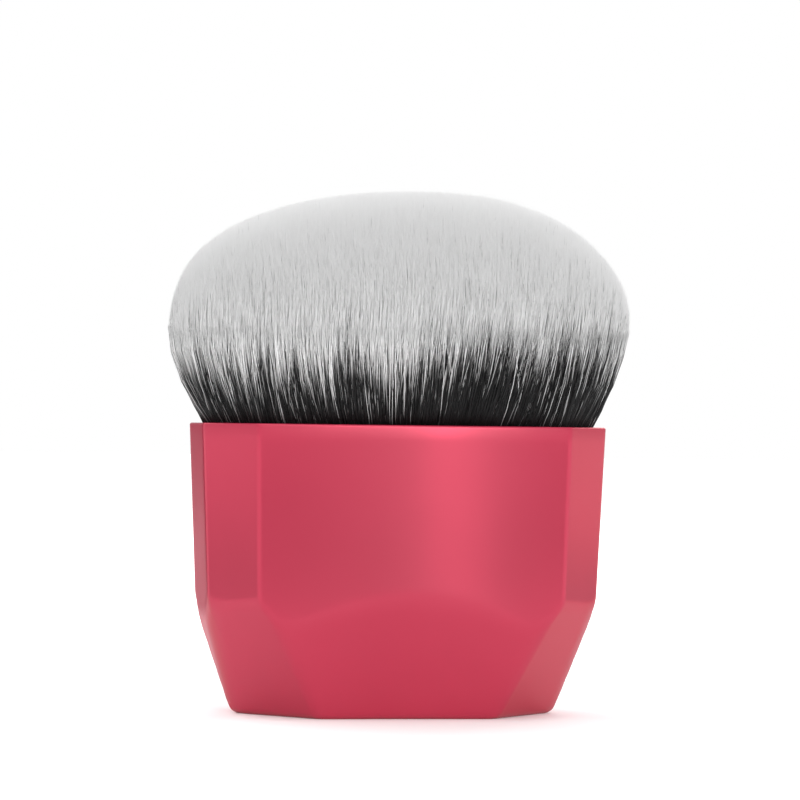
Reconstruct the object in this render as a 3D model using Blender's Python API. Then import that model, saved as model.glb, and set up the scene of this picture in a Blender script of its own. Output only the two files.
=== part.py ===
"""Foundation brush: a cut, drafted handle shell with a dense domed head of bristles.

The brush stands on its base. The origin is the middle of the base, +Z points up to the bristles,
X runs along the handle's long side and -Y is its front. All sizes are in metres.
"""

import math
import random

import bmesh
import bpy
from mathutils import Vector

# Handle, upper part: an upright eight-sided outline with a bowed front and back
rim_width = 0.0542
rim_depth = 0.0350
side_face_width = 0.0158
front_face_width = 0.0414
front_bow_rise = 0.0020
handle_height = 0.0387
draft_degrees = 2.4
upright_edge_round = 0.0005
rim_edge_round = 0.00018

# Handle, lower part: eight cuts that run in to a six-sided base
base_width = 0.0440
base_front_width = 0.0238
base_depth = 0.0222
front_cut_height = 0.0157
side_cut_height = 0.0128
corner_cut_height = 0.0152
brow_blend = 0.0005
ridge_blend_at_base = 0.0009
ridge_blend_at_brow = 0.0024
base_edge_round = 0.0008
foot_ring_shares = (0, 0.12, 0.45, 1)
cut_ring_shares = (0.2, 0.35, 0.5, 0.62, 0.73, 0.83, 0.92)
brow_ring_shares = (0, 0.5, 1)
upper_ring_shares = (0.05, 0.12, 0.3, 0.65)

# Handle, inside
rim_wall = 0.0015
lower_wall = 0.0034
floor_thickness = 0.0030
mouth_depth = 0.0172
cavity_ring_shares = (0, 0.3, 0.65, 1)
rib_thickness = 0.0014
rib_angles_degrees = (0, 90, 180, 270)
cut_overrun = 0.0010

# Balance weight: an oval steel slug on the handle's floor
weight_length = 0.0300
weight_width = 0.0130
weight_height = 0.0110
weight_edge_round = 0.0006

# Ferrule cup and glue plug
cup_wall = 0.0005
cup_lip_below_rim = 0.0015
cup_corner_round = 0.0012

# Bristle head
backing_thickness = 0.0015
backing_below_rim = 0.0017
head_width = 0.0622
head_depth = 0.0396
head_widest_above_rim = 0.0131
trim_length = 0.0315
head_outline_power = 2.35
dome_power = 2.27
head_lean_degrees = 2.2
bundle_inset_at_rim = 0.0018
fan_start_share = 1.8
sweep_reach = 0.00045
sweep_above_rim = 0.0172
sweep_spread = 0.0050
strands_along = 25
strands_across = 13
strand_root_share = 0.80
strand_middle_share = 0.94
strand_tip_share = 0.93
strand_middle_height_share = 0.5
strand_jitter_share = 0.22
strand_short_cut = 0.0008
strand_seed = 7

# Clearance between pieces that touch on the real brush
seat_gap = 0.0003

half_width = rim_width / 2
half_depth = rim_depth / 2
half_side = side_face_width / 2
half_front = front_face_width / 2
front_edge_depth = half_depth - front_bow_rise
bow_radius = (half_front ** 2 + front_bow_rise ** 2) / (2 * front_bow_rise)
bow_centre = half_depth - bow_radius
diagonal_length = math.hypot(half_width - half_front, front_edge_depth - half_side)
diagonal_normal = Vector((front_edge_depth - half_side, half_width - half_front)) / diagonal_length
diagonal_offset = diagonal_normal.dot(Vector((half_width, half_side)))
draft_share = math.tan(math.radians(draft_degrees))
lean_share = math.tan(math.radians(head_lean_degrees))

ledge_height = handle_height - mouth_depth
head_widest_height = handle_height + head_widest_above_rim
head_height = handle_height + trim_length

cup_inset = rim_wall + seat_gap
cup_bottom_height = ledge_height + seat_gap
cup_lip_height = handle_height - cup_lip_below_rim
plug_inset = cup_inset + cup_wall + seat_gap
backing_top = handle_height - backing_below_rim
backing_bottom = backing_top - backing_thickness


def clear_scene():
    """Remove every object that is already in the scene."""
    for item in list(bpy.data.objects):
        bpy.data.objects.remove(item, do_unlink=True)


def soft_min(first, second, blend):
    """The smaller of two lengths, rounded off where they differ by less than the blend."""
    overlap = max(blend - abs(first - second), 0)
    return min(first, second) - overlap * overlap / (4 * blend)


def draft_inset(height):
    """How far the draft has drawn the upright faces in at a height."""
    return (handle_height - height) * draft_share


# Upper outline of the handle

def diagonal_and_bow_corner(inset):
    """Where a diagonal face meets the bowed face, on the outline drawn in by an inset."""
    start = side_and_diagonal_corner(inset)
    along = Vector((half_front - half_width, front_edge_depth - half_side)) / diagonal_length
    from_centre = start - Vector((0, bow_centre))
    half_b = along.dot(from_centre)
    rest = from_centre.length_squared - (bow_radius - inset) ** 2
    return start + along * (math.sqrt(half_b ** 2 - rest) - half_b)


def side_and_diagonal_corner(inset):
    """Where a side face meets a diagonal face, on the outline drawn in by an inset."""
    x = half_width - inset
    return Vector((x, (diagonal_offset - inset - diagonal_normal.x * x) / diagonal_normal.y))


def points_between(start, end, count):
    """Points evenly spaced inside a straight stretch, without its ends."""
    return [start.lerp(end, (step + 1) / (count + 1)) for step in range(count)]


def rounded_corner(before, corner, after):
    """Three points that round a corner off by the upright edge's size."""
    enter = corner + (before - corner).normalized() * upright_edge_round
    leave = corner + (after - corner).normalized() * upright_edge_round
    return [enter, (enter + 2 * corner + leave) / 4, leave]


def bow_points(corner, inset, count):
    """Points along the bowed face from its corner to the middle, which is the last one."""
    radius = bow_radius - inset
    sweep = math.asin(corner.x / radius)
    angles = [sweep * (1 - (step + 1) / count) for step in range(count)]
    return [Vector((radius * math.sin(a), bow_centre + radius * math.cos(a))) for a in angles]


def quarter_outline(inset, side_count=1, diagonal_count=4, bow_count=10):
    """A quarter of the upright outline, from the middle of a side to the middle of the bow."""
    side_middle = Vector((half_width - inset, 0))
    first = side_and_diagonal_corner(inset)
    second = diagonal_and_bow_corner(inset)
    bow = bow_points(second, inset, bow_count)
    points = [side_middle] + points_between(side_middle, first, side_count)
    points += rounded_corner(side_middle, first, second)
    points += points_between(first, second, diagonal_count)
    points += rounded_corner(first, second, bow[0])
    return points + bow


def upright_outline(inset):
    """The whole upright outline, counter-clockwise, drawn in by an inset."""
    quarter = quarter_outline(inset)
    second = [Vector((-p.x, p.y)) for p in reversed(quarter)]
    half = quarter[:-1] + second[:-1]
    return half + [-p for p in half]


def upright_reach(direction, inset):
    """Distance from the axis to the upright outline along a direction in plan."""
    x, y = abs(direction.x), abs(direction.y)
    reaches = [(diagonal_offset - inset) / (diagonal_normal.x * x + diagonal_normal.y * y)]
    if x > 0:
        reaches.append((half_width - inset) / x)
    root = (bow_centre * y) ** 2 - bow_centre ** 2 + (bow_radius - inset) ** 2
    reaches.append(bow_centre * y + math.sqrt(root))
    return min(reaches)


# Lower cuts of the handle

def cut_planes():
    """The cuts in one quarter: plan normal, distance at the base, growth with height."""
    corner = diagonal_and_bow_corner(draft_inset(corner_cut_height))
    base_corner = Vector((base_width / 2, 0))
    base_edge_end = Vector((base_front_width / 2, base_depth / 2))
    edge = base_edge_end - base_corner
    corner_normal = Vector((edge.y, -edge.x)).normalized()
    corner_base = corner_normal.dot(base_corner)
    corner_growth = (corner_normal.dot(corner) - corner_base) / corner_cut_height
    side_reach = half_width - draft_inset(side_cut_height)
    side_growth = (side_reach - base_width / 2) / side_cut_height
    front_reach = half_depth - draft_inset(front_cut_height)
    front_growth = (front_reach - base_depth / 2) / front_cut_height
    return [
        (corner_normal, corner_base, corner_growth),
        (Vector((1, 0)), base_width / 2, side_growth),
        (Vector((0, 1)), base_depth / 2, front_growth),
        (Vector((corner_normal.x, -corner_normal.y)), corner_base, corner_growth),
        (Vector((-corner_normal.x, corner_normal.y)), corner_base, corner_growth),
    ]


def cut_reach(direction, height, planes):
    """Distance from the axis to the cuts along a direction in plan, with softened ridges."""
    folded = Vector((abs(direction.x), abs(direction.y)))
    facing = [(plane, plane[0].dot(folded)) for plane in planes]
    reaches = sorted((base + growth * height) / face for (_, base, growth), face in facing if face > 0)
    rise = min(height / corner_cut_height, 1)
    blend = ridge_blend_at_base + (ridge_blend_at_brow - ridge_blend_at_base) * rise
    reach = reaches[0]
    for other in reaches[1:]:
        reach = soft_min(reach, other, blend)
    return reach


def base_round_inset(height):
    """How far the rounded foot edge is drawn in at a height."""
    below = max(base_edge_round - height, 0)
    return base_edge_round - math.sqrt(base_edge_round ** 2 - below ** 2)


def shell_ring(height, planes, inset=0):
    """One level of the handle's outer surface, drawn in by an inset."""
    ring = []
    for point in upright_outline(draft_inset(height)):
        reach = soft_min(point.length, cut_reach(point.normalized(), height, planes), brow_blend)
        flat = point.normalized() * (reach - base_round_inset(height) - inset)
        ring.append(Vector((flat.x, flat.y, height)))
    return ring


def upright_ring(height, inset):
    """One level of the upright outline, drawn in by the draft and an inset."""
    return [Vector((p.x, p.y, height)) for p in upright_outline(draft_inset(height) + inset)]


# Mesh helpers

def add_loft(mesh, rings):
    """Skin a row of equal rings and close both ends."""
    levels = [[mesh.verts.new(point) for point in ring] for ring in rings]
    count = len(levels[0])
    for lower, upper in zip(levels, levels[1:]):
        for index in range(count):
            after = (index + 1) % count
            mesh.faces.new((lower[index], lower[after], upper[after], upper[index]))
    mesh.faces.new(list(reversed(levels[0])))
    mesh.faces.new(levels[-1])


def make_material(name, colour, roughness, metallic):
    """A Principled material with one colour."""
    material = bpy.data.materials.new(name)
    material.use_nodes = True
    shader = material.node_tree.nodes["Principled BSDF"]
    shader.inputs["Base Color"].default_value = (*colour, 1)
    shader.inputs["Roughness"].default_value = roughness
    shader.inputs["Metallic"].default_value = metallic
    return material


def finish_object(name, mesh, material, sharp_degrees=30):
    """Turn a bmesh into a smooth-shaded object with its material."""
    bmesh.ops.recalc_face_normals(mesh, faces=mesh.faces)
    data = bpy.data.meshes.new(name)
    mesh.to_mesh(data)
    mesh.free()
    data.shade_smooth()
    data.set_sharp_from_angle(angle=math.radians(sharp_degrees))
    data.materials.append(material)
    item = bpy.data.objects.new(name, data)
    bpy.context.scene.collection.objects.link(item)
    return item


# Pieces

def shell_levels():
    """Heights of the rings on the outer surface, closest together where the cuts begin."""
    foot = [base_edge_round * share for share in foot_ring_shares]
    first_cut = min(side_cut_height, front_cut_height, corner_cut_height)
    last_cut = max(side_cut_height, front_cut_height, corner_cut_height)
    cuts = [first_cut * share for share in cut_ring_shares]
    brow = [first_cut + (last_cut - first_cut) * share for share in brow_ring_shares]
    upper = [last_cut + (handle_height - last_cut) * share for share in upper_ring_shares]
    return foot + cuts + brow + upper


def rim_rings():
    """The rim: its two fine edges and the mouth down to the ledge."""
    edge_height = handle_height - rim_edge_round
    return [
        upright_ring(edge_height, 0),
        upright_ring(handle_height, rim_edge_round),
        upright_ring(handle_height, rim_wall - rim_edge_round),
        upright_ring(edge_height, rim_wall),
        upright_ring(ledge_height, rim_wall),
    ]


def lower_cavity_rings(planes):
    """The hollow under the ledge, down to the floor."""
    depth = ledge_height - floor_thickness
    heights = [ledge_height - depth * share for share in cavity_ring_shares]
    return [shell_ring(height, planes, lower_wall) for height in heights]


def weight_reach(direction):
    """Distance from the axis to the side of the oval weight."""
    return 1 / math.hypot(direction.x * 2 / weight_length, direction.y * 2 / weight_width)


def rib_profile(direction, planes):
    """A rib's outline as pairs of reach and height, from the weight's side into the wall."""
    inner = weight_reach(direction) + seat_gap
    bottom = floor_thickness - cut_overrun
    top = floor_thickness + weight_height
    profile = [(inner, bottom)]
    for height in (bottom, (bottom + top) / 2, top):
        upright = upright_reach(direction, draft_inset(height))
        outer = soft_min(upright, cut_reach(direction, height, planes), brow_blend)
        profile.append((outer - lower_wall / 2, height))
    return profile + [(inner, top)]


def make_ribs(planes, material):
    """The ribs that hold the weight, as one guide that is joined to the shell."""
    mesh = bmesh.new()
    for degrees in rib_angles_degrees:
        angle = math.radians(degrees)
        direction = Vector((math.cos(angle), math.sin(angle)))
        across = Vector((-direction.y, direction.x, 0)) * rib_thickness / 2
        sides = []
        for offset in (across, -across):
            points = [Vector((*direction * r, z)) + offset for r, z in rib_profile(direction, planes)]
            sides.append(points)
        add_loft(mesh, sides)
    ribs = finish_object("weight_ribs", mesh, material)
    ribs.hide_render = True
    ribs.display_type = "WIRE"
    return ribs


def make_handle_shell():
    """The moulded handle: outside, rim, mouth, ledge and the hollow for the weight."""
    planes = cut_planes()
    material = make_material("handle_lacquer", (0.58, 0.06, 0.09), 0.32, 0.0)
    mesh = bmesh.new()
    outside = [shell_ring(height, planes) for height in shell_levels()]
    add_loft(mesh, outside + rim_rings() + lower_cavity_rings(planes))
    shell = finish_object("handle_shell", mesh, material)
    joint = shell.modifiers.new("weight_ribs", "BOOLEAN")
    joint.operation = "UNION"
    joint.solver = "EXACT"
    joint.object = make_ribs(planes, material)
    return shell


def make_balance_weight():
    """An oval steel slug that stands on the floor of the handle."""
    mesh = bmesh.new()
    bmesh.ops.create_circle(mesh, cap_ends=True, segments=40, radius=1)
    for vert in mesh.verts:
        vert.co.x *= weight_length / 2
        vert.co.y *= weight_width / 2
    solid = bmesh.ops.extrude_face_region(mesh, geom=mesh.faces[:])
    raised = [item for item in solid["geom"] if isinstance(item, bmesh.types.BMVert)]
    bmesh.ops.translate(mesh, verts=raised, vec=(0, 0, weight_height))
    material = make_material("weight_steel", (0.42, 0.42, 0.43), 0.4, 1.0)
    weight = finish_object("balance_weight", mesh, material)
    weight.location.z = floor_thickness + seat_gap
    bevel = weight.modifiers.new("edge", "BEVEL")
    bevel.width = weight_edge_round
    bevel.segments = 2
    bevel.limit_method = "ANGLE"
    return weight


def make_ferrule_cup():
    """A thin drawn cup that stands on the ledge and lines the handle's mouth."""
    inner_floor = cup_bottom_height + cup_wall
    inner_inset = cup_inset + cup_wall
    rings = [
        upright_ring(cup_bottom_height, cup_inset + cup_corner_round),
        upright_ring(cup_bottom_height + cup_corner_round, cup_inset),
        upright_ring(cup_lip_height, cup_inset),
        upright_ring(cup_lip_height, inner_inset),
        upright_ring(inner_floor + cup_corner_round, inner_inset),
        upright_ring(inner_floor, inner_inset + cup_corner_round),
    ]
    mesh = bmesh.new()
    add_loft(mesh, rings)
    material = make_material("ferrule_aluminium", (0.75, 0.75, 0.76), 0.3, 1.0)
    return finish_object("ferrule_cup", mesh, material)


def make_glue_plug():
    """The cast resin that fills the cup under the bristles' backing."""
    bottom = cup_bottom_height + cup_wall + seat_gap
    rings = [
        upright_ring(bottom, plug_inset + cup_corner_round),
        upright_ring(bottom + cup_corner_round, plug_inset),
        upright_ring(backing_bottom - seat_gap, plug_inset),
    ]
    mesh = bmesh.new()
    add_loft(mesh, rings)
    material = make_material("resin", (0.55, 0.45, 0.28), 0.25, 0.0)
    return finish_object("glue_plug", mesh, material)


# Bristle head

def head_reach(direction):
    """Distance from the axis to the head's widest outline along a direction in plan."""
    x = abs(direction.x) * 2 / head_width
    y = abs(direction.y) * 2 / head_depth
    return (x ** head_outline_power + y ** head_outline_power) ** (-1 / head_outline_power)


def fan_share(height):
    """How far the bristles have fanned out: 0 at the rim, 1 at the widest height, little more above."""
    rise = (height - handle_height) / head_widest_above_rim
    if rise > 1:
        return 1 + (2 - fan_start_share) * (rise - 1)
    return fan_start_share * rise + (1 - fan_start_share) * rise * rise


def bundle_reach(direction, height):
    """Distance from the axis to the bundle's edge: out from the plug to the rim, then fanned."""
    rim_reach = upright_reach(direction, bundle_inset_at_rim)
    if height >= handle_height:
        return rim_reach + (head_reach(direction) - rim_reach) * fan_share(height)
    root = upright_reach(direction, draft_inset(backing_top) + plug_inset)
    return root + (rim_reach - root) * (height - backing_top) / backing_below_rim


def fanned_point(spot, height):
    """Where the fan alone puts a bristle in plan. The spot is its place in a unit disc."""
    distance = spot.length
    if distance == 0:
        return Vector((0, 0))
    direction = spot / distance
    stretched = Vector((direction.x * half_width, direction.y * half_depth)).normalized()
    return stretched * bundle_reach(stretched, height) * distance


def bundle_point(spot, height):
    """Where a bristle is in plan at a height, with the bundle swept to one side at its shoulders."""
    rise = (height - handle_height - sweep_above_rim) / sweep_spread
    return fanned_point(spot, height) + Vector((sweep_reach * math.exp(-rise * rise), 0))


def dome_height(point):
    """Height of the trimmed dome over a point in plan. Its lean fades out towards its edge."""
    filled = min(point.length / head_reach(point.normalized()), 1) if point.length > 0 else 0
    rise = (1 - filled ** dome_power) ** (1 / dome_power)
    lean = lean_share * point.x * (1 - filled * filled)
    return head_widest_height + (head_height - head_widest_height) * rise + lean


def tip_height(spot):
    """Height at which a bristle meets the dome, found by halving the interval."""
    low, high = handle_height, head_height + head_width * lean_share
    for _ in range(40):
        middle = (low + high) / 2
        if dome_height(fanned_point(spot, middle)) > middle:
            low = middle
        else:
            high = middle
    return low


def grid_spots(scatter):
    """The strand grid's corners, uneven inside its edge and mapped from a square to the unit disc."""
    spots = {}
    for column in range(strands_along + 1):
        for row in range(strands_across + 1):
            shift = [scatter.uniform(-strand_jitter_share, strand_jitter_share) for _ in range(2)]
            inside = 0 < column < strands_along and 0 < row < strands_across
            u = 2 * (column + shift[0] * inside) / strands_along - 1
            v = 2 * (row + shift[1] * inside) / strands_across - 1
            spots[column, row] = Vector((u * math.sqrt(1 - v * v / 2), v * math.sqrt(1 - u * u / 2)))
    return spots


def strand_sections(corners, drop):
    """A strand's root, middle and tip, which slants with the dome and ends a little short of it."""
    centre = sum(corners, Vector((0, 0))) / len(corners)
    middle_height = backing_top + (tip_height(centre) - backing_top) * strand_middle_height_share
    shares = (strand_root_share, strand_middle_share, strand_tip_share)
    root, middle, tip = [[centre.lerp(corner, share) for corner in corners] for share in shares]
    levels = [[(spot, backing_top) for spot in root]]
    levels.append([(spot, middle_height) for spot in middle])
    levels.append([(spot, tip_height(spot) - drop) for spot in tip])
    return [[(*bundle_point(spot, height), height) for spot, height in level] for level in levels]


def add_strand(mesh, cell, corners, drop):
    """Grow one four-sided strand from its cell of the backing."""
    lower = cell
    for section in strand_sections(corners, drop):
        upper = [mesh.verts.new(point) for point in section]
        for index in range(4):
            after = (index + 1) % 4
            mesh.faces.new((lower[index], lower[after], upper[after], upper[index]))
        lower = upper
    mesh.faces.new(lower)


def edge_walk():
    """Grid corners round the edge of the strand grid, counter-clockwise."""
    bottom = [(column, 0) for column in range(strands_along)]
    right = [(strands_along, row) for row in range(strands_across)]
    top = [(column, strands_across) for column in range(strands_along, 0, -1)]
    left = [(0, row) for row in range(strands_across, 0, -1)]
    return bottom + right + top + left


def add_backing(mesh, grid):
    """The sides and the underside of the slice that the strands are fused to."""
    walk = edge_walk()
    upper = [grid[place] for place in walk]
    lower = [mesh.verts.new((vert.co.x, vert.co.y, backing_bottom)) for vert in upper]
    for index in range(len(walk)):
        after = (index + 1) % len(walk)
        mesh.faces.new((lower[index], lower[after], upper[after], upper[index]))
    mesh.faces.new(list(reversed(lower)))


def make_bristle_head():
    """All the strands, fused to the top slice of their glued roots."""
    mesh = bmesh.new()
    scatter = random.Random(strand_seed)
    spots = grid_spots(scatter)
    roots = {place: bundle_point(spot, backing_top) for place, spot in spots.items()}
    grid = {place: mesh.verts.new((*root, backing_top)) for place, root in roots.items()}
    for column in range(strands_along):
        for row in range(strands_across):
            places = [(column, row), (column + 1, row), (column + 1, row + 1), (column, row + 1)]
            cell = [grid[place] for place in places]
            corners = [spots[place] for place in places]
            add_strand(mesh, cell, corners, scatter.uniform(0, strand_short_cut))
    add_backing(mesh, grid)
    material = make_material("bristle_fibre", (0.62, 0.61, 0.60), 0.55, 0.0)
    return finish_object("bristle_head", mesh, material)


def build_brush():
    """Build every piece and hang it on one empty at the middle of the base."""
    clear_scene()
    stand = bpy.data.objects.new("brush", None)
    bpy.context.scene.collection.objects.link(stand)
    makers = (make_handle_shell, make_balance_weight, make_ferrule_cup, make_glue_plug, make_bristle_head)
    for make_piece in makers:
        make_piece().parent = stand


build_brush()
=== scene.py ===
"""Foundation brush, finished: a cut handle in satin coral lacquer under a dense two-tone head.

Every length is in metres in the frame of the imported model, unless its name says mm, share,
degrees or pixel. X runs along the handle's long side, -Y is its front and +Z points up.
"""

import math

import bpy
import numpy as np
from mathutils import Matrix, Vector, noise


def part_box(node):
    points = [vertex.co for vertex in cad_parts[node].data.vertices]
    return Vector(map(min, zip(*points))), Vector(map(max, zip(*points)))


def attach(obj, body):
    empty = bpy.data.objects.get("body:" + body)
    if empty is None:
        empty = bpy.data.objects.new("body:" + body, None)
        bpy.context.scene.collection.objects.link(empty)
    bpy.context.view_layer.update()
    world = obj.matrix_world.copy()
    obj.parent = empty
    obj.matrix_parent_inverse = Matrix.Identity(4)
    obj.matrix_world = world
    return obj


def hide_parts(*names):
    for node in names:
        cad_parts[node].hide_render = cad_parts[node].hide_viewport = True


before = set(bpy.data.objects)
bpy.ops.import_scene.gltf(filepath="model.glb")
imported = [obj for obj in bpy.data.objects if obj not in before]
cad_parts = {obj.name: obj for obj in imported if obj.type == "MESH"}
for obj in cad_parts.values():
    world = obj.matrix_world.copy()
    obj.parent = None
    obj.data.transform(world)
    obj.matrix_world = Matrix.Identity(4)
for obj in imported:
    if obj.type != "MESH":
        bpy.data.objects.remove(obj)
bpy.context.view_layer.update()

# Handle, as it is moulded and cut
shell_low, shell_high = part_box("handle_shell")
rim_width = shell_high.x - shell_low.x
rim_depth = shell_high.y - shell_low.y
handle_height = shell_high.z
side_face_width = 0.0158
front_face_width = 0.0414
front_bow_rise = 0.0020
draft_degrees = 2.4
upright_edge_round = 0.0005
rim_edge_round = 0.00030
base_width = 0.0440
base_front_width = 0.0238
base_depth = 0.0222
front_cut_height = 0.0157
side_cut_height = 0.0128
corner_cut_height = 0.0152
brow_blend = 0.0005
ridge_blend_at_base = 0.0009
ridge_blend_at_brow = 0.0024
base_edge_round = 0.0008
rim_wall = 0.0015
lower_wall = 0.0034
floor_thickness = 0.0030
mouth_depth = 0.0172

# How finely the handle's skin is divided, most finely within the brow zone of each brow
side_steps = 5
diagonal_steps = 20
bow_steps = 44
corner_steps = 7
foot_rings = 6
cut_rings = 34
brow_rings = 20
upper_rings = 12
rim_round_steps = 4
cavity_rings = 6
brow_zone = 0.0018

# Bristle head
head_width = 0.0622
head_depth = 0.0396
head_widest_above_rim = 0.0131
trim_length = 0.0315
backing_below_rim = 0.0017
root_inset = 0.0026
bundle_inset_at_rim = 0.0017
head_outline_power = 2.35
dome_power = 2.27
head_lean_degrees = 2.2
fan_start_share = 1.8
sweep_reach = 0.00045
sweep_above_rim = 0.0172
sweep_spread = 0.0050

# Fibres: drawn synthetic filaments about 0.1 mm thick, as the real ones are, with sharpened tips
fibre_count = 132000
inner_fibre_radius = 0.000051
outer_fibre_radius = 0.000043
fibre_radius_spread_share = 0.25
fibre_point_length = 0.0036
fibre_shoulder_share = 0.9
fibre_sides = 3
piece_triangles_most = 190000
inner_spot_share = 0.90
inner_fibre_length = 0.0075
inner_stops = (0, 0.5, 1)
outer_stops = (0, 0.15, 0.35, 0.65, 1)
spot_shake_share = 2.0
tip_scatter = 0.0006
stray_share = 0.12
stray_scatter = 0.0024
short_tip = 0.00015
fibre_wave = 0.00003
fibre_seed = 21

# Packed core: the closed middle of the bundle, which shows only between the outer fibres
core_spot_share = 0.96
core_drop = 0.0024
core_edge_drop = 0.0065
core_drop_power = 4
core_columns = 720
core_side_rings = 12
core_dome_rings = 12

# Dye: how high above the rim each fibre turns from black to white
dye_height_left = 0.0076
dye_height_right = 0.0106
dye_turn_width = 0.0045
dye_spread = 0.0020
dye_clump_swing = 0.0032
dye_clump_size = 0.0022
long_white_share = 0.26
long_white_drop = 0.0038
long_black_share = 0.10
long_black_rise = 0.0042
dye_lowest = 0.0014
dye_columns = 128
dye_column_margin = 0.02
dye_fade_length = 0.0052

# Guards against dividing by nothing on the axis, and how often an interval is halved to find a height
least_divisor = 1e-9
axis_nudge = 1e-12
halvings = 30

# Camera: where the photograph was taken from
camera_distance = 0.496
camera_yaw_degrees = 9.5
camera_roll_degrees = 0.716
picture_pixels = 800
focal_pixels = 3690
axis_pixel_x = 396.5
rim_pixel_y = 425
sensor_width_mm = 36
camera_near = 0.01
camera_far = 20

# Table: the strength of its glow near the brush and far away, the distances from the axis between
# which the glow rises, and how much stronger it is in gloss
table_half_side = 4.0
glow_near = 0.12
glow_far = 0.80
glow_rise_start = 0.08
glow_rise_end = 0.50
added_glow_in_gloss = 0.18

# World: the strength that lights the brush, and the one that is seen as white
studio_light = 0.52
studio_white = 1.0

# Softboxes: azimuth in degrees, height, distance from the axis, width, length and watts
softboxes = {
    "overhead": (-55, 1.10, 0.15, 1.20, 1.20, 5.6),
    "front_low": (10, 0.35, 0.80, 0.50, 0.50, 2.9),
    "front_high": (-15, 0.80, 0.70, 0.80, 0.80, 0.4),
    "strip_right": (14, 0.06, 0.90, 0.06, 0.40, 0.8),
    "side_left": (-130, 0.25, 0.80, 0.50, 0.50, 1.0),
    "back_left": (-150, 0.50, 0.80, 0.60, 0.60, 3.2),
    "back_right": (150, 0.50, 0.80, 0.60, 0.60, 4.0),
}

# Black cards that lie just above the table, by their corners in plan
card_lift = 0.001
lying_cards = {
    "front_flag_left": [(-0.16, -0.42), (0.080, -0.42), (0.024, -0.12), (-0.10, -0.12)],
    "front_flag_right": [(0.160, -0.42), (0.32, -0.42), (0.16, -0.12), (0.052, -0.12)],
    "side_flag_left": [(-0.28, -0.040), (-0.13, -0.040), (-0.13, 0.030), (-0.28, 0.030)],
    "side_flag_right": [(0.13, 0.01), (0.28, 0.05), (0.26, 0.12), (0.12, 0.07)],
}

# The black card that stands behind on the left, by the right and left ends of its foot in plan
standing_card_foot = [(-0.043, 0.143), (-0.165, 0.111)]
standing_card_height = 0.14

half_width = rim_width / 2
half_depth = rim_depth / 2
half_side = side_face_width / 2
half_front = front_face_width / 2
front_edge_depth = half_depth - front_bow_rise
bow_radius = (half_front ** 2 + front_bow_rise ** 2) / (2 * front_bow_rise)
bow_centre = half_depth - bow_radius
diagonal_length = math.hypot(half_width - half_front, front_edge_depth - half_side)
diagonal_normal = Vector((front_edge_depth - half_side, half_width - half_front)) / diagonal_length
diagonal_offset = diagonal_normal.dot(Vector((half_width, half_side)))
draft_share = math.tan(math.radians(draft_degrees))
lean_share = math.tan(math.radians(head_lean_degrees))
ledge_height = handle_height - mouth_depth
backing_top = handle_height - backing_below_rim
head_widest_height = handle_height + head_widest_above_rim
head_height = handle_height + trim_length
golden_angle = math.pi * (3 - math.sqrt(5))


# Materials

def colour(hex_code):
    """The linear colour of an sRGB hex code, by the standard sRGB curve."""
    parts = [int(hex_code[start:start + 2], 16) / 255 for start in (1, 3, 5)]
    linear = [part / 12.92 if part <= 0.04045 else ((part + 0.055) / 1.055) ** 2.4 for part in parts]
    return (*linear, 1)


def per_metre(size_mm):
    """The texture scale at which a pattern repeats every so many millimetres."""
    return 1000 / size_mm


def add_node(tree, kind, inputs=None, **settings):
    """Add a node with its settings. An input given as a socket is linked, any other is set."""
    item = tree.nodes.new(kind)
    for name, value in settings.items():
        setattr(item, name, value)
    for name, value in (inputs or {}).items():
        if isinstance(value, bpy.types.NodeSocket):
            tree.links.new(value, item.inputs[name])
        else:
            item.inputs[name].default_value = value
    return item


def start_material(name):
    """An empty node material with its output."""
    material = bpy.data.materials.new(name)
    material.use_nodes = True
    tree = material.node_tree
    tree.nodes.clear()
    return material, tree, tree.nodes.new("ShaderNodeOutputMaterial")


def satin_coral_lacquer():
    """Pearl basecoat on a moulded ABS shell, under a sprayed satin clear coat.

    The pearl gives broad lights in the lacquer's own red, and the clear coat gives soft pale ones
    where the surface turns away. The colour drifts by a shade over 14 mm. The spray leaves a
    shallow orange peel, 1.6 mm from crest to crest. The pearl's flakes are really about 0.05 mm
    across and are drawn 0.25 mm coarse, because finer ones wouldn't show.
    """
    material, tree, output = start_material("satin_coral_lacquer")
    place = add_node(tree, "ShaderNodeTexCoord").outputs["Object"]
    cloud = add_node(tree, "ShaderNodeTexNoise", {"Vector": place, "Scale": per_metre(14), "Detail": 2})
    pearl = add_node(tree, "ShaderNodeTexNoise", {"Vector": place, "Scale": per_metre(0.25), "Detail": 1})
    tint = add_node(tree, "ShaderNodeMix", {
        "Factor": cloud.outputs["Fac"], 6: colour("#B22442"), 7: colour("#BA2A48"),
    }, data_type="RGBA")
    peel = add_node(tree, "ShaderNodeTexNoise", {"Vector": place, "Scale": per_metre(1.6), "Detail": 2})
    bump = add_node(tree, "ShaderNodeBump", {
        "Height": peel.outputs["Fac"], "Strength": 0.06, "Distance": 0.00005,
    })
    rough = add_node(tree, "ShaderNodeMapRange", {
        "Value": pearl.outputs["Fac"], "To Min": 0.18, "To Max": 0.24,
    })
    shader = add_node(tree, "ShaderNodeBsdfPrincipled", {
        "Base Color": tint.outputs[2],
        "Metallic": 0.27,
        "Roughness": rough.outputs["Result"],
        "Specular IOR Level": 0,
        "Specular Tint": tint.outputs[2],
        "Coat Weight": 0.50,
        "Coat IOR": 1.7,
        "Coat Roughness": 0.32,
        "Normal": bump.outputs["Normal"],
        "Coat Normal": bump.outputs["Normal"],
    })
    tree.links.new(shader.outputs["BSDF"], output.inputs["Surface"])
    return material


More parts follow.
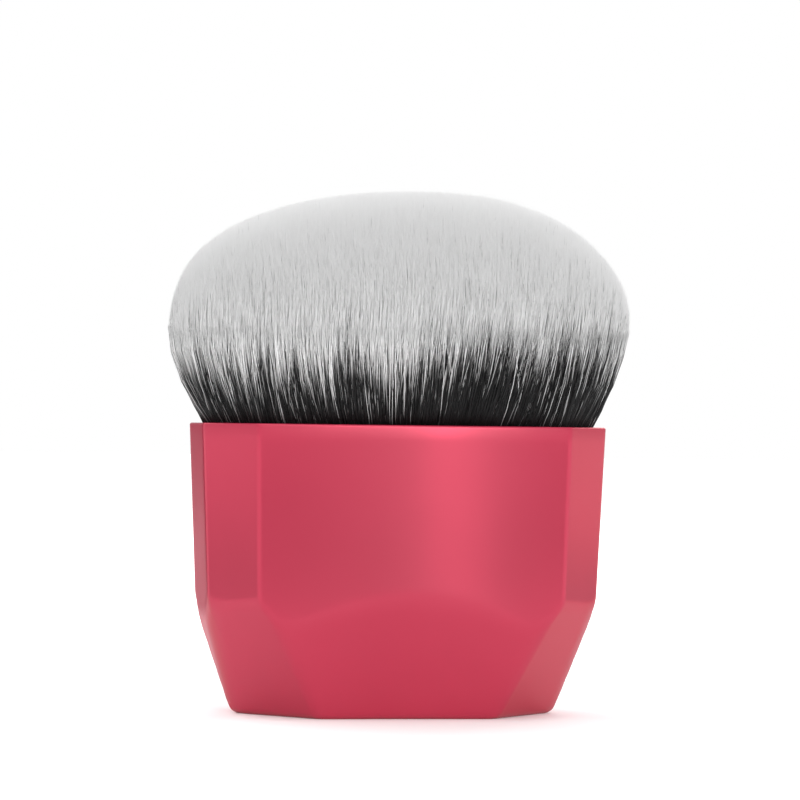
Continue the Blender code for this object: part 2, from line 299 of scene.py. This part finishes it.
def dyed_polyester_fibre():
    """Drawn polyester filament, its roots dyed black, with sharpened milky tips.

    It is satin, and each fibre differs a little in shade. The map holds a fibre's dye column
    across and its height above the backing upwards, so a column number gives both the height
    where its dye fades and its own slight shade.
    """
    material, tree, output = start_material("dyed_polyester_fibre")
    place = add_node(tree, "ShaderNodeUVMap", uv_map="OFBake").outputs["UV"]
    split = add_node(tree, "ShaderNodeSeparateXYZ", {"Vector": place})
    scaled = add_node(tree, "ShaderNodeMath", {
        0: split.outputs["X"], 1: dye_columns,
    }, operation="MULTIPLY")
    column = add_node(tree, "ShaderNodeMath", {0: scaled.outputs[0]}, operation="FLOOR").outputs[0]
    dyed = add_node(tree, "ShaderNodeMath", {0: column, 1: dye_columns}, operation="DIVIDE")
    above = add_node(tree, "ShaderNodeMath", {
        0: split.outputs["Y"], 1: dyed.outputs[0],
    }, operation="SUBTRACT")
    fade_share = dye_fade_length / trim_length
    white = add_node(tree, "ShaderNodeMapRange", {
        "Value": above.outputs[0], "From Min": -fade_share / 2, "From Max": fade_share / 2,
    }, interpolation_type="SMOOTHSTEP")
    chance = add_node(tree, "ShaderNodeTexWhiteNoise", {"W": column}, noise_dimensions="1D")
    milky = add_node(tree, "ShaderNodeMix", {
        "Factor": chance.outputs["Value"], 6: colour("#F2F2F2"), 7: colour("#FDFDFD"),
    }, data_type="RGBA")
    black = add_node(tree, "ShaderNodeMix", {
        "Factor": chance.outputs["Value"], 6: colour("#0B0B0C"), 7: colour("#1A1A1B"),
    }, data_type="RGBA")
    shade = add_node(tree, "ShaderNodeMix", {
        "Factor": white.outputs["Result"], 6: black.outputs[2], 7: milky.outputs[2],
    }, data_type="RGBA")
    shader = add_node(tree, "ShaderNodeBsdfPrincipled", {
        "Base Color": shade.outputs[2],
        "Roughness": 0.5,
        "Specular IOR Level": 0.35,
    })
    tree.links.new(shader.outputs["BSDF"], output.inputs["Surface"])
    return material


def grained_finish(name, low, high, grain_mm, roughness, metallic, stretch=(1, 1, 1)):
    """A finish whose colour and fine bump follow one grain. A stretch squeezes it into lines."""
    material, tree, output = start_material(name)
    place = add_node(tree, "ShaderNodeTexCoord").outputs["Object"]
    grain_place = add_node(tree, "ShaderNodeMapping", {"Vector": place, "Scale": stretch})
    grain = add_node(tree, "ShaderNodeTexNoise", {
        "Vector": grain_place.outputs["Vector"], "Scale": per_metre(grain_mm), "Detail": 4,
    })
    tint = add_node(tree, "ShaderNodeMix", {
        "Factor": grain.outputs["Fac"], 6: colour(low), 7: colour(high),
    }, data_type="RGBA")
    bump = add_node(tree, "ShaderNodeBump", {
        "Height": grain.outputs["Fac"], "Strength": 0.3, "Distance": 0.00002,
    })
    shader = add_node(tree, "ShaderNodeBsdfPrincipled", {
        "Base Color": tint.outputs[2],
        "Metallic": metallic,
        "Roughness": roughness,
        "Normal": bump.outputs["Normal"],
    })
    tree.links.new(shader.outputs["BSDF"], output.inputs["Surface"])
    return material


# Handle shape

def soft_min(first, second, blend):
    """The smaller of two lengths, rounded off where they differ by less than the blend."""
    overlap = max(blend - abs(first - second), 0)
    return min(first, second) - overlap * overlap / (4 * blend)


def draft_inset(height):
    """How far the draft has drawn the upright faces in at a height."""
    return (handle_height - height) * draft_share


def side_and_diagonal_corner(inset):
    """Where a side face meets a diagonal face, on the outline drawn in by an inset."""
    x = half_width - inset
    return Vector((x, (diagonal_offset - inset - diagonal_normal.x * x) / diagonal_normal.y))


def diagonal_and_bow_corner(inset):
    """Where a diagonal face meets the bowed face, on the outline drawn in by an inset."""
    start = side_and_diagonal_corner(inset)
    along = Vector((half_front - half_width, front_edge_depth - half_side)) / diagonal_length
    from_centre = start - Vector((0, bow_centre))
    along_face = along.dot(from_centre)
    past_bow = from_centre.length_squared - (bow_radius - inset) ** 2
    return start + along * (math.sqrt(along_face ** 2 - past_bow) - along_face)


def stretch_points(start, end, steps):
    """Points inside a straight stretch, without its ends."""
    return [start.lerp(end, (step + 1) / (steps + 1)) for step in range(steps)]


def corner_points(before, corner, after):
    """A corner rounded by the upright edge's size."""
    enter = corner + (before - corner).normalized() * upright_edge_round
    leave = corner + (after - corner).normalized() * upright_edge_round
    shares = [step / (corner_steps - 1) for step in range(corner_steps)]
    return [enter.lerp(corner, share).lerp(corner.lerp(leave, share), share) for share in shares]


def bow_points(corner, inset):
    """Points along the bowed face, from just past its corner to the middle, which is the last one."""
    radius = bow_radius - inset
    sweep = math.asin(corner.x / radius) - upright_edge_round / radius
    angles = [sweep * (1 - (step + 1) / bow_steps) for step in range(bow_steps)]
    return [Vector((radius * math.sin(a), bow_centre + radius * math.cos(a))) for a in angles]


def upright_outline(inset):
    """The whole upright outline, counter-clockwise, drawn in by an inset."""
    side_middle = Vector((half_width - inset, 0))
    first = side_and_diagonal_corner(inset)
    second = diagonal_and_bow_corner(inset)
    bow = bow_points(second, inset)
    side_turn = corner_points(side_middle, first, second)
    bow_turn = corner_points(first, second, bow[0])
    quarter = [side_middle] + stretch_points(side_middle, side_turn[0], side_steps) + side_turn
    quarter += stretch_points(side_turn[-1], bow_turn[0], diagonal_steps) + bow_turn + bow
    half = quarter[:-1] + [Vector((-p.x, p.y)) for p in reversed(quarter)][:-1]
    return half + [-p for p in half]


def cut_planes():
    """The cuts in one quarter: plan normal, distance at the base, growth with height."""
    corner = diagonal_and_bow_corner(draft_inset(corner_cut_height))
    base_corner = Vector((base_width / 2, 0))
    edge = Vector((base_front_width / 2, base_depth / 2)) - base_corner
    corner_normal = Vector((edge.y, -edge.x)).normalized()
    corner_base = corner_normal.dot(base_corner)
    corner_growth = (corner_normal.dot(corner) - corner_base) / corner_cut_height
    side_growth = (half_width - draft_inset(side_cut_height) - base_width / 2) / side_cut_height
    front_growth = (half_depth - draft_inset(front_cut_height) - base_depth / 2) / front_cut_height
    return [
        (corner_normal, corner_base, corner_growth),
        (Vector((1, 0)), base_width / 2, side_growth),
        (Vector((0, 1)), base_depth / 2, front_growth),
        (Vector((corner_normal.x, -corner_normal.y)), corner_base, corner_growth),
        (Vector((-corner_normal.x, corner_normal.y)), corner_base, corner_growth),
    ]


def cut_reach(direction, height, planes):
    """Distance from the axis to the cuts along a direction in plan, with softened ridges."""
    folded = Vector((abs(direction.x), abs(direction.y)))
    facing = [(plane, plane[0].dot(folded)) for plane in planes]
    reaches = sorted((base + growth * height) / face for (_, base, growth), face in facing if face > 0)
    rise = min(height / corner_cut_height, 1)
    blend = ridge_blend_at_base + (ridge_blend_at_brow - ridge_blend_at_base) * rise
    reach = reaches[0]
    for other in reaches[1:]:
        reach = soft_min(reach, other, blend)
    return reach


def shell_ring(height, planes, inset=0):
    """One level of the handle's outer surface, drawn in by an inset."""
    below = max(base_edge_round - height, 0)
    foot = base_edge_round - math.sqrt(base_edge_round ** 2 - below ** 2)
    ring = []
    for point in upright_outline(draft_inset(height)):
        reach = soft_min(point.length, cut_reach(point.normalized(), height, planes), brow_blend)
        flat = point.normalized() * (reach - foot - inset)
        ring.append((flat.x, flat.y, height))
    return ring


def upright_ring(height, inset):
    """One level of the upright outline, drawn in by the draft and an inset."""
    return [(p.x, p.y, height) for p in upright_outline(draft_inset(height) + inset)]


def spaced(low, high, steps):
    """Heights evenly spaced from low, without high."""
    return [low + (high - low) * step / steps for step in range(steps)]


def outside_rings(planes):
    """The outer surface from the base up to just under the rim's edge."""
    turns = [math.pi / 2 * step / foot_rings for step in range(foot_rings)]
    heights = [base_edge_round * (1 - math.cos(turn)) for turn in turns]
    lowest = min(side_cut_height, front_cut_height, corner_cut_height) - brow_zone
    highest = max(side_cut_height, front_cut_height, corner_cut_height) + brow_zone
    heights += spaced(base_edge_round, lowest, cut_rings)
    heights += spaced(lowest, highest, brow_rings)
    heights += spaced(highest, handle_height - rim_edge_round, upper_rings)
    return [shell_ring(height, planes) for height in heights]


def rim_rings():
    """The flat rim between its two fine rounded edges, and the mouth down to the ledge."""
    outer, inner = [], []
    for step in range(rim_round_steps + 1):
        turn = math.pi / 2 * step / rim_round_steps
        drop = rim_edge_round * (1 - math.sin(turn))
        inset = rim_edge_round * (1 - math.cos(turn))
        outer.append(upright_ring(handle_height - drop, inset))
        inner.append(upright_ring(handle_height - drop, rim_wall - inset))
    return outer + inner[::-1] + [upright_ring(ledge_height, rim_wall)]


def cavity_levels(planes):
    """The hollow under the ledge, down to the floor."""
    depth = ledge_height - floor_thickness
    heights = [ledge_height - depth * step / cavity_rings for step in range(cavity_rings + 1)]
    return [shell_ring(height, planes, lower_wall) for height in heights]


def wall_faces(rings, corners):
    """Four-sided faces between each ring and the next one, for rings of so many corners."""
    faces = []
    for ring in range(rings - 1):
        low, high = ring * corners, (ring + 1) * corners
        for index in range(corners):
            after = (index + 1) % corners
            faces.append((low + index, low + after, high + after, high + index))
    return faces


def show(name, mesh, material, slot_name, *nodes, sharp_degrees=None):
    """Put a finished mesh in the scene, riding on the brush in place of the nodes that it stands for."""
    if sharp_degrees is not None:
        mesh.shade_smooth()
        mesh.set_sharp_from_angle(angle=math.radians(sharp_degrees))
    mesh.materials.append(material)
    piece = bpy.data.objects.new(name, mesh)
    bpy.context.scene.collection.objects.link(piece)
    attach(piece, "root")
    if nodes:
        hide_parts(*nodes)
    return piece


def make_lacquered_shell():
    """The handle's skin, from the base over the rim and down into the mouth."""
    planes = cut_planes()
    rings = outside_rings(planes) + rim_rings() + cavity_levels(planes)
    count = len(rings[0])
    faces = wall_faces(len(rings), count)
    faces.append(tuple(reversed(range(count))))
    faces.append(tuple(range((len(rings) - 1) * count, len(rings) * count)))
    mesh = bpy.data.meshes.new("lacquered_shell")
    mesh.from_pydata([point for ring in rings for point in ring], [], faces)
    mesh.validate()
    lacquer = satin_coral_lacquer()
    return show("lacquered_shell", mesh, lacquer, "handle", "handle_shell", sharp_degrees=35)


# Bristle head

def outline_reaches(directions, inset):
    """Distances from the axis to the upright outline along unit directions in plan."""
    x, y = np.abs(directions).T
    diagonal = (diagonal_offset - inset) / (diagonal_normal.x * x + diagonal_normal.y * y)
    side = (half_width - inset) / np.maximum(x, least_divisor)
    across = bow_centre * y
    bow = across + np.sqrt(across ** 2 - bow_centre ** 2 + (bow_radius - inset) ** 2)
    return np.minimum(np.minimum(diagonal, side), bow)


def head_reaches(directions):
    """Distances from the axis to the head's widest outline along unit directions in plan."""
    across = np.abs(directions) * 2 / np.array([head_width, head_depth])
    return (across ** head_outline_power).sum(1) ** (-1 / head_outline_power)


def bundle_reaches(directions, heights):
    """Distances from the axis to the bundle's edge: out from the plug to the rim, then fanned."""
    rims = outline_reaches(directions, bundle_inset_at_rim)
    roots = outline_reaches(directions, draft_inset(backing_top) + root_inset)
    above = (heights - handle_height) / head_widest_above_rim
    fan = fan_start_share * above + (1 - fan_start_share) * above * above
    fan = np.where(above > 1, 1 + (2 - fan_start_share) * (above - 1), fan)
    below = roots + (rims - roots) * (heights - backing_top) / backing_below_rim
    return np.where(above < 0, below, rims + (head_reaches(directions) - rims) * fan)


def fanned_places(spots, heights):
    """Where the fan alone puts fibres in plan. A spot is a fibre's place in a unit disc."""
    distances = np.linalg.norm(spots, axis=1)
    stretched = spots * np.array([half_width, half_depth]) + axis_nudge
    stretched /= np.linalg.norm(stretched, axis=1)[:, None]
    return stretched * (bundle_reaches(stretched, heights) * distances)[:, None]


def bundle_places(spots, heights):
    """Where fibres are in plan at their heights, with the bundle swept to one side at its shoulders."""
    rise = (heights - handle_height - sweep_above_rim) / sweep_spread
    sweep = sweep_reach * np.exp(-rise * rise)
    return fanned_places(spots, heights) + np.stack([sweep, np.zeros_like(sweep)], 1)


def dome_heights(places):
    """Heights of the trimmed dome over places in plan. Its lean fades out towards its edge."""
    lengths = np.maximum(np.linalg.norm(places, axis=1), least_divisor)
    filled = np.minimum(lengths / head_reaches(places / lengths[:, None]), 1)
    rise = (1 - filled ** dome_power) ** (1 / dome_power)
    lean = lean_share * places[:, 0] * (1 - filled ** 2)
    return head_widest_height + (head_height - head_widest_height) * rise + lean


def tip_heights(spots):
    """Heights at which fibres meet the dome, found by halving the interval."""
    low = np.full(len(spots), handle_height)
    high = np.full(len(spots), head_height + head_width * lean_share)
    for _ in range(halvings):
        middle = (low + high) / 2
        inside = dome_heights(fanned_places(spots, middle)) > middle
        low = np.where(inside, middle, low)
        high = np.where(inside, high, middle)
    return low


def within_disc(spots):
    """Spots drawn back to the unit disc's edge where they lie outside it."""
    return spots / np.maximum(np.linalg.norm(spots, axis=1), 1)[:, None]


def fibre_spots(chance):
    """Even places in a unit disc on a sunflower spiral, shaken so that no rows show."""
    order = np.arange(fibre_count) + 0.5
    distances = np.sqrt(order / fibre_count)
    turns = order * golden_angle
    spots = np.stack([distances * np.cos(turns), distances * np.sin(turns)], 1)
    shake = spot_shake_share / math.sqrt(fibre_count)
    return within_disc(spots + chance.uniform(-shake, shake, spots.shape))


def fibre_paths(chance, spots, inner, stops):
    """Points along each fibre, which starts on the backing, or just under the dome if it is inner.

    Stops are shares of the way from its start to where its point begins.
    """
    count = len(spots)
    scatter = np.where(chance.random(count) < stray_share, stray_scatter, tip_scatter)
    tips = within_disc(spots + chance.normal(0, 1, spots.shape) * (scatter / half_width)[:, None])
    ends = tip_heights(tips) - np.abs(chance.normal(0, short_tip, count))
    starts = ends - inner_fibre_length if inner else np.full(count, backing_top)
    points = ends - fibre_point_length
    levels = []
    for heights in [starts + (points - starts) * stop for stop in stops] + [ends]:
        share = ((heights - backing_top) / (ends - backing_top))[:, None]
        places = bundle_places(spots + (tips - spots) * share, heights)
        places += chance.normal(0, fibre_wave, places.shape) * np.sin(math.pi * share)
        levels.append(np.column_stack([places, heights]))
    return np.stack(levels, 1)


def dye_columns_of(chance, places):
    """The dye column of each fibre: the height above the backing at which its black fades out."""
    count = len(places)
    clumps = np.array([noise.noise(Vector((x, y, 0)) / dye_clump_size) for x, y in places])
    turn = (1 + np.tanh(places[:, 0] / dye_turn_width)) / 2
    heights = dye_height_left + (dye_height_right - dye_height_left) * turn
    heights += clumps * dye_clump_swing + chance.normal(0, dye_spread, count)
    long_white = chance.random(count) < long_white_share
    heights -= np.where(long_white, chance.exponential(long_white_drop, count), 0)
    long_black = chance.random(count) < long_black_share
    heights += np.where(long_black, chance.exponential(long_black_rise, count), 0)
    dyed = (np.maximum(heights, dye_lowest) + backing_below_rim) / trim_length
    return np.clip(np.floor(dyed * dye_columns), 0, dye_columns - 1)


def make_packed_core(chance, material):
    """The closed middle of the bundle, with the same dye as the fibres that stand round it."""
    turns = np.arange(core_columns) * 2 * math.pi / core_columns
    edge = np.stack([np.cos(turns), np.sin(turns)], 1) * core_spot_share
    top = tip_heights(edge) - core_edge_drop
    levels = []
    for share in np.linspace(0, 1, core_side_rings):
        heights = backing_top + (top - backing_top) * share
        levels.append(np.column_stack([bundle_places(edge, heights), heights]))
    for share in np.linspace(1, 0, core_dome_rings + 1)[1:-1]:
        drop = core_drop + (core_edge_drop - core_drop) * share ** core_drop_power
        heights = tip_heights(edge * share) - drop
        levels.append(np.column_stack([bundle_places(edge * share, heights), heights]))
    points = np.concatenate(levels + [[[0, 0, head_height - core_drop]]])
    faces = wall_faces(len(levels), core_columns)
    last, crown = (len(levels) - 1) * core_columns, len(points) - 1
    faces += [(last + index, last + (index + 1) % core_columns, crown) for index in range(core_columns)]
    faces.append(tuple(reversed(range(core_columns))))
    mesh = bpy.data.meshes.new("packed_core")
    mesh.from_pydata(points.tolist(), [], faces)
    columns = dye_columns_of(chance, levels[core_side_rings // 2][:, :2])
    columns = np.minimum(columns, dye_columns // 2)  # no dark stripe runs up into the core's dome

    # Each wall and crown face takes its own column's dye, and the face that closes the root column 0
    face_columns = np.append(np.tile(columns, len(levels)), 0)
    sizes = [len(face) for face in faces]
    corners = np.concatenate([np.array(face) for face in faces])
    places = np.stack([
        (np.repeat(face_columns, sizes) + 0.5) / dye_columns,
        (points[corners, 2] - backing_top) / trim_length,
    ], 1)
    mesh.uv_layers.new(name="OFBake").uv.foreach_set("vector", places.astype(np.float32).ravel())
    return show("packed_core", mesh, material, "bristles", "bristle_head", sharp_degrees=60)


def dye_map(paths, columns):
    """Map coordinates of every corner: the dye column across, the height above the backing upwards."""
    rise = (paths[:, :, 2] - backing_top) / trim_length
    side = np.arange(fibre_sides + 1) / fibre_sides
    u = (columns[:, None] + dye_column_margin + (1 - 2 * dye_column_margin) * side) / dye_columns
    return u, rise


def make_fibres(name, paths, radii, columns, chance, material):
    """Thin three-sided fibres, each closed at its root and drawn to a point at its tip."""
    count = len(paths)
    levels = paths.shape[1] - 1
    turns = chance.uniform(0, 2 * math.pi, count)
    around = turns[:, None] + np.arange(fibre_sides) * 2 * math.pi / fibre_sides
    ring = np.stack([np.cos(around), np.sin(around), np.zeros_like(around)], 2)
    tapers = np.append(np.ones(levels - 1), fibre_shoulder_share)
    thick = radii[:, None, None, None] * tapers[None, :, None, None]
    sections = paths[:, :levels, None, :] + ring[:, None, :, :] * thick
    corners = np.concatenate([sections.reshape(count, -1, 3), paths[:, levels:, :]], 1)
    per_fibre = corners.shape[1]

    # One fibre's faces and the map places of their corners, which every other fibre repeats
    root = tuple(reversed(range(fibre_sides)))
    faces, spots = [root], [[(side, 0) for side in root]]
    for level in range(levels):
        for side in range(fibre_sides):
            after = (side + 1) % fibre_sides
            low = level * fibre_sides
            high = low + fibre_sides
            if level < levels - 1:
                faces.append((low + side, low + after, high + after, high + side))
                spots.append([(side, level), (side + 1, level), (side + 1, level + 1), (side, level + 1)])
            else:
                faces.append((low + side, low + after, per_fibre - 1))
                spots.append([(side, level), (side + 1, level), (side, level + 1)])
    pattern = np.concatenate([np.array(face) for face in faces])
    sizes = np.array([len(face) for face in faces])
    starts = np.concatenate([[0], np.cumsum(sizes)[:-1]])
    loops = (np.arange(count)[:, None] * per_fibre + pattern).ravel()
    loop_starts = (np.arange(count)[:, None] * len(pattern) + starts).ravel()

    mesh = bpy.data.meshes.new(name)
    mesh.vertices.add(count * per_fibre)
    mesh.vertices.foreach_set("co", corners.astype(np.float32).ravel())
    mesh.loops.add(len(loops))
    mesh.loops.foreach_set("vertex_index", loops.astype(np.int32))
    mesh.polygons.add(len(loop_starts))
    mesh.polygons.foreach_set("loop_start", loop_starts.astype(np.int32))
    mesh.update(calc_edges=True)
    u, rise = dye_map(paths, columns)
    spot_sides, spot_levels = np.array([spot for face in spots for spot in face]).T
    places = np.stack([u[:, spot_sides], rise[:, spot_levels]], 2)
    uv_map = mesh.uv_layers.new(name="OFBake")
    uv_map.uv.foreach_set("vector", places.astype(np.float32).ravel())
    mesh.shade_smooth()
    return show(name, mesh, material, "bristles", "bristle_head")


def make_bristle_head():
    """All the fibres, ring by ring from the middle of the bundle outwards.

    The inner ones start just under the dome, out of sight. The outer ones are seen from the rim
    up, so they follow the fan in more steps.
    """
    chance = np.random.default_rng(fibre_seed)
    material = dyed_polyester_fibre()
    make_packed_core(chance, material)
    spots = fibre_spots(chance)
    first_outer = round(fibre_count * inner_spot_share ** 2)
    zones = (
        (True, spots[:first_outer], inner_fibre_radius, inner_stops),
        (False, spots[first_outer:], outer_fibre_radius, outer_stops),
    )
    number = 0
    for inner, zone_spots, radius, stops in zones:
        # A fibre's triangles are its walls, its point and its root. A ring holds no more fibres
        # than keep it small enough to be exported whole.
        triangles_each = 2 * fibre_sides * (len(stops) - 1) + fibre_sides + 1
        batch = piece_triangles_most // triangles_each
        for start in range(0, len(zone_spots), batch):
            part = zone_spots[start:start + batch]
            paths = fibre_paths(chance, part, inner, stops)
            radii = radius * (1 + chance.uniform(-1, 1, len(part)) * fibre_radius_spread_share)
            dye_level = np.full(len(part), handle_height + dye_height_left)
            columns = dye_columns_of(chance, bundle_places(part, dye_level))
            number += 1
            make_fibres(f"bristle_ring_{number}", paths, radii, columns, chance, material)


# Studio

def flat_sheet(name, corners, material):
    """A flat sheet of the studio with four corners."""
    mesh = bpy.data.meshes.new(name)
    mesh.from_pydata(corners, [], [(0, 1, 2, 3)])
    mesh.materials.append(material)
    sheet = bpy.data.objects.new(name, mesh)
    bpy.context.scene.collection.objects.link(sheet)
    return sheet


def make_floor():
    """A table top of white acrylic with a matt face, which keeps the brush's shadow.

    A glow that only the camera, glass and gloss see lifts it to white, so it lights nothing. The
    glow is weak round the brush, where the shadow has to stay, and grows further out.
    """
    material, tree, output = start_material("white_acrylic_table")
    rays = add_node(tree, "ShaderNodeLightPath").outputs
    place = add_node(tree, "ShaderNodeNewGeometry").outputs["Position"]
    away = add_node(tree, "ShaderNodeVectorMath", {0: place}, operation="LENGTH")
    rise = add_node(tree, "ShaderNodeMapRange", {
        "Value": away.outputs["Value"],
        "From Min": glow_rise_start, "From Max": glow_rise_end,
        "To Min": glow_near, "To Max": glow_far,
    })
    plainly_seen = add_node(tree, "ShaderNodeMath", {
        0: rays["Is Camera Ray"], 1: rays["Is Transmission Ray"],
    }, operation="MAXIMUM")
    seen = add_node(tree, "ShaderNodeMath", {
        0: plainly_seen.outputs[0], 1: rays["Is Glossy Ray"],
    }, operation="MAXIMUM")
    lift = add_node(tree, "ShaderNodeMath", {
        0: seen.outputs[0], 1: rise.outputs["Result"],
    }, operation="MULTIPLY")
    strength = add_node(tree, "ShaderNodeMath", {
        0: rays["Is Glossy Ray"], 1: added_glow_in_gloss, 2: lift.outputs[0],
    }, operation="MULTIPLY_ADD")
    glow = add_node(tree, "ShaderNodeEmission", {
        "Color": (1, 1, 1, 1), "Strength": strength.outputs[0],
    })
    matt = add_node(tree, "ShaderNodeBsdfDiffuse", {"Color": colour("#F3F3F3")})
    both = add_node(tree, "ShaderNodeAddShader", {0: matt.outputs[0], 1: glow.outputs[0]})
    tree.links.new(both.outputs[0], output.inputs["Surface"])
    signs = ((-1, -1), (1, -1), (1, 1), (-1, 1))
    corners = [(x * table_half_side, y * table_half_side, 0) for x, y in signs]
    floor = flat_sheet("floor", corners, material)


def add_flag(name, corners, material):
    """A black card that only reflections show, where it keeps a face of the lacquer deep."""
    flag = flat_sheet(name, corners, material)
    flag.visible_camera = False
    flag.visible_diffuse = False
    flag.visible_shadow = False


def make_flags():
    """Cards: two lie in front with a gap between them, one lies at each side, and one stands behind."""
    material, tree, output = start_material("black_card")
    matt = add_node(tree, "ShaderNodeBsdfDiffuse", {"Color": colour("#1C1C1E")})
    tree.links.new(matt.outputs[0], output.inputs["Surface"])
    for name, corners in lying_cards.items():
        add_flag(name, [(x, y, card_lift) for x, y in corners], material)
    right, left = standing_card_foot
    low, high = 0, standing_card_height
    add_flag("back_flag", [(*right, low), (*left, low), (*left, high), (*right, high)], material)


def make_world():
    """A plain white studio: white where it is seen, and dimmer as an even soft light on the brush."""
    world = bpy.data.worlds.new("studio")
    bpy.context.scene.world = world
    world.use_nodes = True
    tree = world.node_tree
    tree.nodes.clear()
    rays = add_node(tree, "ShaderNodeLightPath").outputs
    plainly_seen = add_node(tree, "ShaderNodeMath", {
        0: rays["Is Camera Ray"], 1: rays["Is Transmission Ray"],
    }, operation="MAXIMUM")
    seen = add_node(tree, "ShaderNodeMath", {
        0: plainly_seen.outputs[0], 1: rays["Is Glossy Ray"],
    }, operation="MAXIMUM")
    strength = add_node(tree, "ShaderNodeMapRange", {
        "Value": seen.outputs[0], "To Min": studio_light, "To Max": studio_white,
    })
    sky = add_node(tree, "ShaderNodeBackground", {
        "Color": (1, 1, 1, 1), "Strength": strength.outputs["Result"],
    })
    output = add_node(tree, "ShaderNodeOutputWorld")
    tree.links.new(sky.outputs[0], output.inputs["Surface"])


def add_softbox(name, azimuth_degrees, height, distance, width, length, watts):
    """A soft lamp aimed at the rim. Azimuth 0 is in front of the brush, and turns to the right."""
    azimuth = math.radians(azimuth_degrees)
    light = bpy.data.lights.new(name, "AREA")
    light.shape = "RECTANGLE"
    light.size = width
    light.size_y = length
    light.energy = watts
    lamp = bpy.data.objects.new(name, light)
    lamp.location = (distance * math.sin(azimuth), -distance * math.cos(azimuth), height)
    towards = Vector((0, 0, handle_height)) - lamp.location
    lamp.rotation_euler = towards.to_track_quat("-Z", "Y").to_euler()
    lamp.visible_camera = False
    bpy.context.scene.collection.objects.link(lamp)


def make_lights():
    """One softbox overhead, two in front with a narrow strip beside them, and three behind."""
    for name, setting in softboxes.items():
        add_softbox(name, *setting)


def make_camera():
    """The photograph's view: level with the rim, from the front and a little to the left."""
    yaw = math.radians(camera_yaw_degrees)
    data = bpy.data.cameras.new("camera")
    data.sensor_width = sensor_width_mm
    data.lens = focal_pixels / picture_pixels * sensor_width_mm
    data.shift_x = (picture_pixels / 2 - axis_pixel_x) / picture_pixels
    data.shift_y = (rim_pixel_y - picture_pixels / 2) / picture_pixels
    data.clip_start = camera_near
    data.clip_end = camera_far
    camera = bpy.data.objects.new("camera", data)
    place = Vector((-camera_distance * math.sin(yaw), -camera_distance * math.cos(yaw), handle_height))
    turn = Matrix.Rotation(-yaw, 4, "Z") @ Matrix.Rotation(math.pi / 2, 4, "X")
    turn = turn @ Matrix.Rotation(math.radians(camera_roll_degrees), 4, "Z")
    camera.matrix_world = Matrix.Translation(place) @ turn
    bpy.context.scene.collection.objects.link(camera)
    bpy.context.scene.camera = camera


def finish_nodes():
    """Give the pieces inside the handle, which keep their CAD meshes, finishes of their own."""
    # Mild steel, turned: dull grey, with fine rings about its upright axis
    steel = grained_finish(
        "turned_steel", "#8A8A8C", "#A6A6A8", grain_mm=0.4, roughness=0.38, metallic=1, stretch=(1, 1, 12),
    )
    # Aluminium sheet, deep-drawn: bright satin, with fine upright streaks from the die
    aluminium = grained_finish(
        "drawn_aluminium", "#BEBFC2", "#D4D5D8", grain_mm=0.5, roughness=0.3, metallic=1, stretch=(8, 8, 1),
    )
    # Epoxy resin, poured round the roots and cured: amber and glossy, with soft clouds
    resin = grained_finish(
        "cast_epoxy", "#B59A62", "#C7AE78", grain_mm=2.5, roughness=0.22, metallic=0,
    )
    finishes = {"balance_weight": steel, "ferrule_cup": aluminium, "glue_plug": resin}
    for name, finish in finishes.items():
        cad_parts[name].data.materials.clear()
        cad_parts[name].data.materials.append(finish)


make_camera()
make_world()
make_lights()
make_floor()
make_flags()
make_lacquered_shell()
make_bristle_head()
finish_nodes()
bpy.context.scene.view_settings.view_transform = "Standard"
